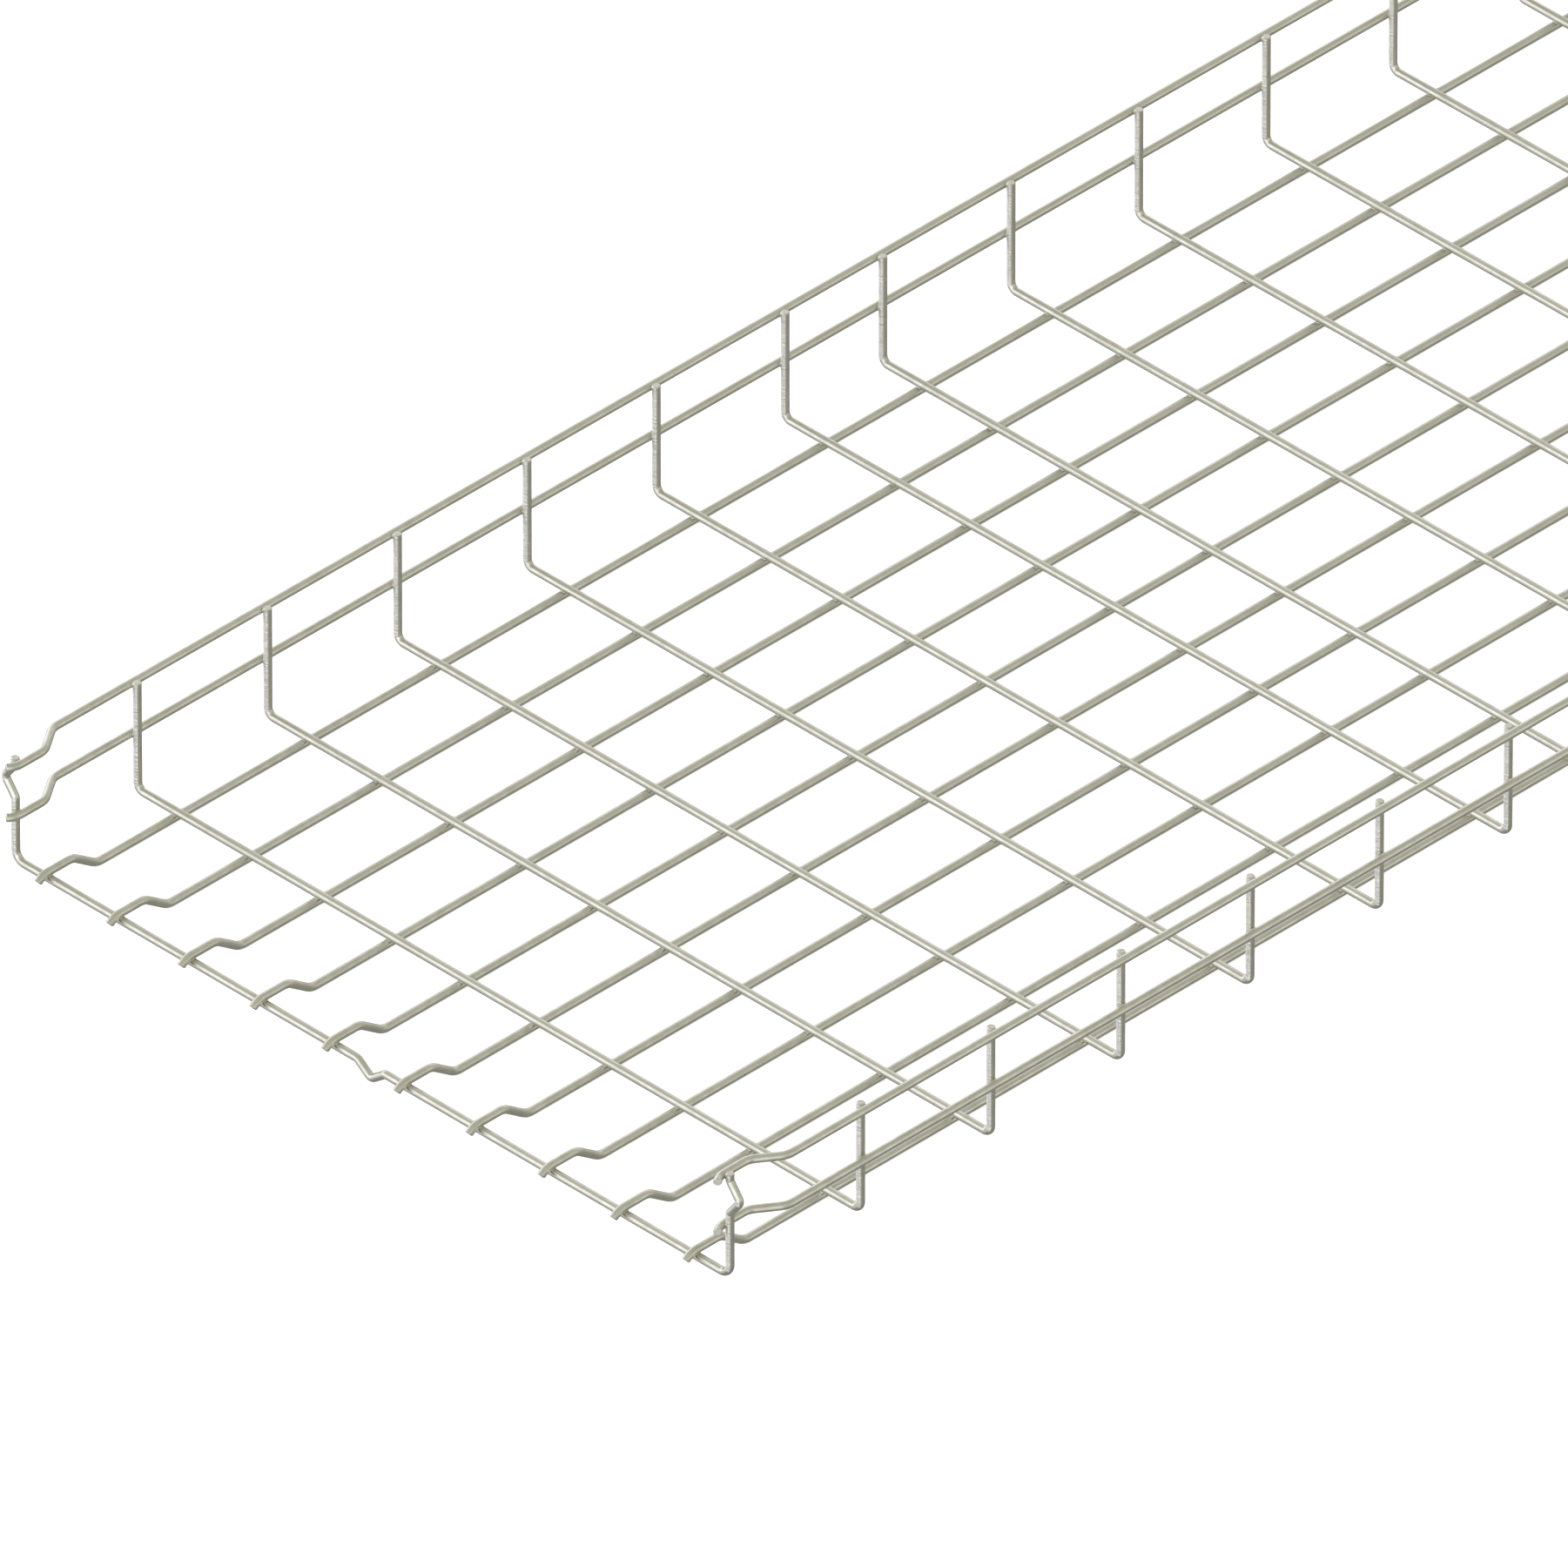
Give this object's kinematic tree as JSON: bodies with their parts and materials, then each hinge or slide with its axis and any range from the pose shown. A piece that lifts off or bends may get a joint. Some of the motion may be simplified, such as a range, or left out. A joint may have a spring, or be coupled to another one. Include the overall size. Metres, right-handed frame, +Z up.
{
  "type": "wire mesh cable basket",
  "caption": "Welded wire mesh cable basket with low wire sides, a stepped-in connector end with hooks and latches, and a plain end.",
  "frame": {"origin": "middle of the underside of the floor wires, halfway between the hook tips and the plain end", "axes": "+X along the basket from the connector end to the plain end, +Y to the left looking that way, +Z up out of the open top"},
  "size_m": [3, 0.5146, 0.0705],
  "materials": {
    "steel_wire": "drawn steel wire, zinc plated after welding, satin warm grey"
  },
  "bodies": {
    "root": {"floor_wire_01": "steel_wire", "floor_wire_02": "steel_wire", "floor_wire_03": "steel_wire", "floor_wire_04": "steel_wire", "floor_wire_05": "steel_wire", "floor_wire_06": "steel_wire", "floor_wire_07": "steel_wire", "floor_wire_08": "steel_wire", "floor_wire_09": "steel_wire", "floor_wire_10": "steel_wire", "left_top_rail": "steel_wire", "left_mid_rail": "steel_wire", "right_top_rail": "steel_wire", "right_mid_rail": "steel_wire", "latch_wire": "steel_wire", "cross_wire_01": "steel_wire", "cross_wire_02": "steel_wire", "cross_wire_03": "steel_wire", "cross_wire_04": "steel_wire", "cross_wire_05": "steel_wire", "cross_wire_06": "steel_wire", "cross_wire_07": "steel_wire", "cross_wire_08": "steel_wire", "cross_wire_09": "steel_wire", "cross_wire_10": "steel_wire", "cross_wire_11": "steel_wire", "cross_wire_12": "steel_wire", "cross_wire_13": "steel_wire", "cross_wire_14": "steel_wire", "cross_wire_15": "steel_wire", "cross_wire_16": "steel_wire", "cross_wire_17": "steel_wire", "cross_wire_18": "steel_wire", "cross_wire_19": "steel_wire", "cross_wire_20": "steel_wire", "cross_wire_21": "steel_wire", "cross_wire_22": "steel_wire", "cross_wire_23": "steel_wire", "cross_wire_24": "steel_wire", "cross_wire_25": "steel_wire", "cross_wire_26": "steel_wire", "cross_wire_27": "steel_wire", "cross_wire_28": "steel_wire", "cross_wire_29": "steel_wire", "cross_wire_30": "steel_wire", "cross_wire_31": "steel_wire", "cross_wire_32": "steel_wire", "cross_wire_33": "steel_wire"}
  },
  "joints": []
}
